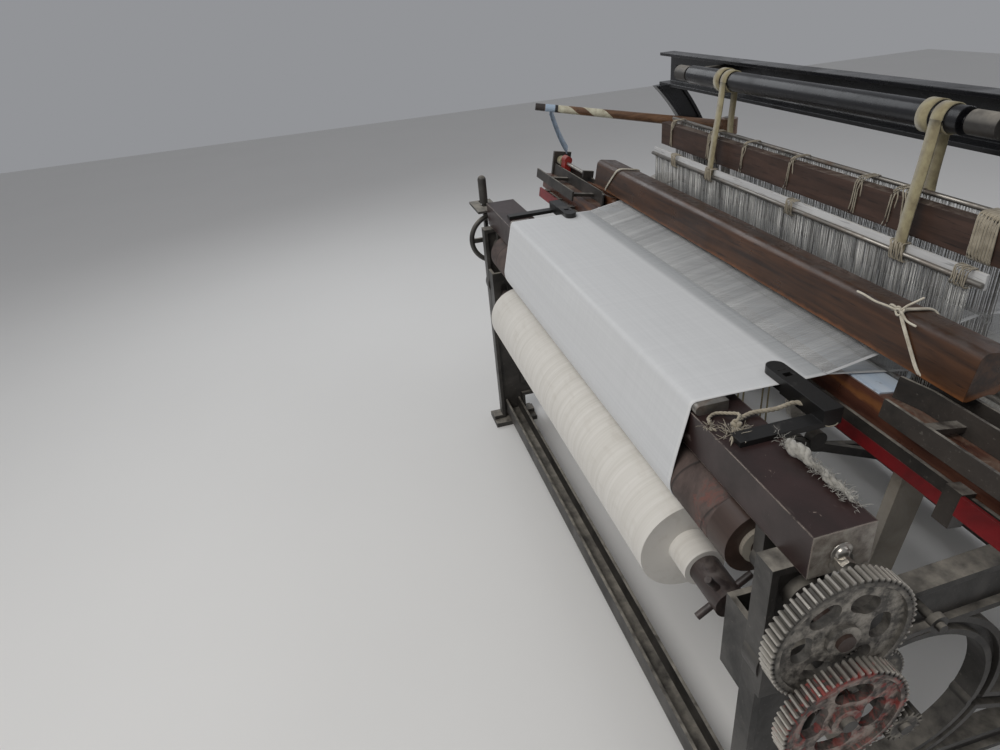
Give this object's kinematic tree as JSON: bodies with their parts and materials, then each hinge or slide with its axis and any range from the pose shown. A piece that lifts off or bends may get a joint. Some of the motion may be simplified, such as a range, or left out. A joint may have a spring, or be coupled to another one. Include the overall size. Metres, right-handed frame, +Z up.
{
  "type": "power loom",
  "caption": "Over-pick power loom weaving plain white cloth: cast frames, sley with reed and shuttle boxes, healds, take-up wheels, cloth roll and warp beam.",
  "frame": {"origin": "on the floor, midway between the side frames, at the middle of the loom's depth", "axes": "+X to the weaver's right along the sley, +Y from the breast beam to the warp beam, +Z up"},
  "size_m": [2.4, 1.397, 1.3],
  "materials": {
    "painted_iron": "satin",
    "breast_beam_paint": "satin",
    "worn_steel": "satin",
    "black_enamel": "gloss",
    "bright_steel": "satin",
    "black_plastic": "gloss",
    "white_cloth": "matte",
    "cotton_yarn": "matte",
    "gear_iron": "satin",
    "oiled_wood": "satin",
    "box_wood": "satin",
    "race_laminate": "satin",
    "reed_wire": "satin",
    "varnished_cap": "gloss",
    "box_iron": "satin",
    "leather": "matte",
    "red_picker": "satin",
    "blue_band": "matte",
    "varnished_stick": "gloss",
    "heald_wire": "satin",
    "pale_lath": "matte",
    "brown_stave": "satin",
    "emery_cover": "matte",
    "red_gear": "satin",
    "dark_core": "satin",
    "rolled_cloth": "matte",
    "beam_yarn": "matte"
  },
  "bodies": {
    "framing": {"side_frame_left": "painted_iron", "side_frame_right": "painted_iron", "breast_beam": "breast_beam_paint", "breast_rail": "worn_steel", "cross_rails": "painted_iron", "top_rail": "black_enamel", "rail_arches": "black_enamel", "shaft_bearings": "painted_iron", "frame_bolts": "bright_steel", "temples": "black_plastic", "woven_cloth": "white_cloth", "outer_brackets": "painted_iron"},
    "crankshaft": {"crankshaft": "worn_steel", "crank_gear": "gear_iron", "fast_pulley": "gear_iron"},
    "loose_pulley": {"loose_pulley": "gear_iron"},
    "crank_arms": {"crank_arms": "oiled_wood"},
    "bottom_shaft": {"bottom_shaft": "worn_steel", "bottom_gear": "gear_iron", "tappets": "gear_iron"},
    "sley": {"sley_swords": "painted_iron", "sley_beam": "box_wood", "race_strip": "race_laminate", "reed": "reed_wire", "reed_cap": "varnished_cap", "shuttle_box_left": "box_iron", "shuttle_box_right": "box_iron", "picker_spindles": "bright_steel", "buffers": "leather", "picking_bands": "blue_band"},
    "picker_left": {"picker_left": "red_picker"},
    "picker_right": {"picker_right": "red_picker"},
    "shuttle": {"shuttle": "box_wood"},
    "picking_left": {"picking_shaft_left": "worn_steel", "picking_stick_left": "varnished_stick"},
    "picking_right": {"picking_shaft_right": "worn_steel", "picking_stick_right": "varnished_stick"},
    "heald_roller": {"heald_roller": "black_enamel"},
    "front_healds": {"front_healds": "heald_wire", "front_laths": "pale_lath", "front_straps": "leather", "lower_warp": "cotton_yarn"},
    "rear_healds": {"rear_healds": "heald_wire", "rear_staves": "brown_stave", "rear_straps": "leather", "upper_warp": "cotton_yarn"},
    "front_treadle": {"front_treadle": "painted_iron"},
    "rear_treadle": {"rear_treadle": "painted_iron"},
    "emery_roller": {"emery_roller": "emery_cover", "beam_wheel": "gear_iron", "hand_wheel": "painted_iron"},
    "carrier_wheel": {"carrier_wheel": "red_gear"},
    "ratchet_wheel": {"ratchet_wheel": "gear_iron"},
    "cloth_roll": {"cloth_roller": "dark_core", "cloth_roll": "rolled_cloth"},
    "take_up_pawl": {"take_up_pawl": "painted_iron"},
    "roller_levers": {"roller_levers": "painted_iron"},
    "warp_beam": {"warp_beam": "beam_yarn"},
    "starting_handle": {"starting_handle": "painted_iron"},
    "belt_fork": {"belt_fork": "worn_steel"}
  },
  "joints": [
    {"name": "crankshaft_turn", "type": "hinge", "parent": "framing", "child": "crankshaft", "pos_m": [0, 0.122, 0.72], "axis": [1, 0, 0], "continuous": true},
    {"name": "loose_pulley_turn", "type": "hinge", "parent": "crankshaft", "child": "loose_pulley", "pos_m": [-0.98, 0.122, 0.72], "axis": [1, 0, 0], "continuous": true},
    {"name": "crank_arms_turn", "type": "hinge", "parent": "crankshaft", "child": "crank_arms", "pos_m": [0, 0.174, 0.72], "axis": [1, 0, 0], "continuous": true},
    {"name": "bottom_shaft_turn", "type": "hinge", "parent": "framing", "child": "bottom_shaft", "pos_m": [0, 0.122, 0.414], "axis": [1, 0, 0], "continuous": true},
    {"name": "sley_swing", "type": "hinge", "parent": "framing", "child": "sley", "pos_m": [0, -0.34, 0.13], "axis": [1, 0, 0], "range_deg": [0, 9.8], "deforming": ["picking_bands"]},
    {"name": "picker_left_slide", "type": "slide", "parent": "sley", "child": "picker_left", "axis": [1, 0, 0], "range_m": [0, 0.147]},
    {"name": "picker_right_slide", "type": "slide", "parent": "sley", "child": "picker_right", "axis": [-1, 0, 0], "range_m": [0, 0.147]},
    {"name": "shuttle_slide", "type": "slide", "parent": "sley", "child": "shuttle", "axis": [1, 0, 0], "range_m": [0, 1.544]},
    {"name": "picking_shaft_left_turn", "type": "hinge", "parent": "framing", "child": "picking_left", "pos_m": [-0.77, 0.252, 0.7], "axis": [0, 0, 1], "range_deg": [0, 14]},
    {"name": "picking_shaft_right_turn", "type": "hinge", "parent": "framing", "child": "picking_right", "pos_m": [0.77, 0.252, 0.7], "axis": [0, 0, -1], "range_deg": [0, 14]},
    {"name": "heald_roller_turn", "type": "hinge", "parent": "framing", "child": "heald_roller", "pos_m": [0, -0.06, 1.273], "axis": [-1, 0, 0], "range_deg": [0, 195.2]},
    {"name": "front_healds_lift", "type": "slide", "parent": "framing", "child": "front_healds", "axis": [0, 0, 1], "range_m": [0, 0.0818], "deforming": ["front_straps", "lower_warp"]},
    {"name": "rear_healds_fall", "type": "slide", "parent": "framing", "child": "rear_healds", "axis": [0, 0, -1], "range_m": [0, 0.0909], "deforming": ["rear_straps", "upper_warp"]},
    {"name": "front_treadle_lift", "type": "hinge", "parent": "framing", "child": "front_treadle", "pos_m": [-0.033, 0.43, 0.13], "axis": [-1, 0, 0], "range_deg": [0, 8.75]},
    {"name": "rear_treadle_fall", "type": "hinge", "parent": "framing", "child": "rear_treadle", "pos_m": [0.033, 0.43, 0.13], "axis": [1, 0, 0], "range_deg": [0, 11.1]},
    {"name": "emery_roller_turn", "type": "hinge", "parent": "framing", "child": "emery_roller", "pos_m": [0, -0.58, 0.737], "axis": [1, 0, 0], "continuous": true},
    {"name": "carrier_wheel_turn", "type": "hinge", "parent": "framing", "child": "carrier_wheel", "pos_m": [0.958, -0.575, 0.60234], "axis": [1, 0, 0], "continuous": true},
    {"name": "ratchet_wheel_turn", "type": "hinge", "parent": "framing", "child": "ratchet_wheel", "pos_m": [0.9, -0.46588, 0.53934], "axis": [1, 0, 0], "continuous": true},
    {"name": "cloth_roll_turn", "type": "hinge", "parent": "framing", "child": "cloth_roll", "pos_m": [0, -0.6, 0.578], "axis": [1, 0, 0], "continuous": true},
    {"name": "take_up_pawl_lift", "type": "hinge", "parent": "framing", "child": "take_up_pawl", "pos_m": [0.895, -0.35, 0.622], "axis": [-1, 0, 0], "range_deg": [0, 12]},
    {"name": "roller_levers_swing", "type": "hinge", "parent": "framing", "child": "roller_levers", "pos_m": [0, -0.47, 0.59], "axis": [1, 0, 0], "range_deg": [0, 10]},
    {"name": "warp_beam_turn", "type": "hinge", "parent": "framing", "child": "warp_beam", "pos_m": [0, 0.505, 0.45], "axis": [1, 0, 0], "continuous": true},
    {"name": "starting_handle_swing", "type": "hinge", "parent": "framing", "child": "starting_handle", "pos_m": [-0.973, -0.6, 0.3], "axis": [0, -1, 0], "range_deg": [0, 5]},
    {"name": "belt_fork_slide", "type": "slide", "parent": "framing", "child": "belt_fork", "axis": [1, 0, 0], "range_m": [0, 0.062]}
  ],
  "couplings": [
    {"joint": "crank_arms_turn", "follows": "crankshaft_turn", "ratio": -1},
    {"joint": "bottom_shaft_turn", "follows": "crankshaft_turn", "ratio": -0.5},
    {"joint": "picker_left_slide", "follows": "picking_shaft_left_turn", "m_per_rad": 0.6},
    {"joint": "picker_right_slide", "follows": "picking_shaft_right_turn", "m_per_rad": 0.6},
    {"joint": "front_healds_lift", "follows": "heald_roller_turn", "m_per_rad": 0.024},
    {"joint": "rear_healds_fall", "follows": "heald_roller_turn", "m_per_rad": 0.02667},
    {"joint": "front_treadle_lift", "follows": "heald_roller_turn", "ratio": 0.04462},
    {"joint": "rear_treadle_fall", "follows": "heald_roller_turn", "ratio": 0.05661},
    {"joint": "carrier_wheel_turn", "follows": "emery_roller_turn", "ratio": -4.1333},
    {"joint": "ratchet_wheel_turn", "follows": "emery_roller_turn", "ratio": 14.467},
    {"joint": "cloth_roll_turn", "follows": "emery_roller_turn", "ratio": -0.60914},
    {"joint": "belt_fork_slide", "follows": "starting_handle_swing", "m_per_rad": 0.71}
  ]
}
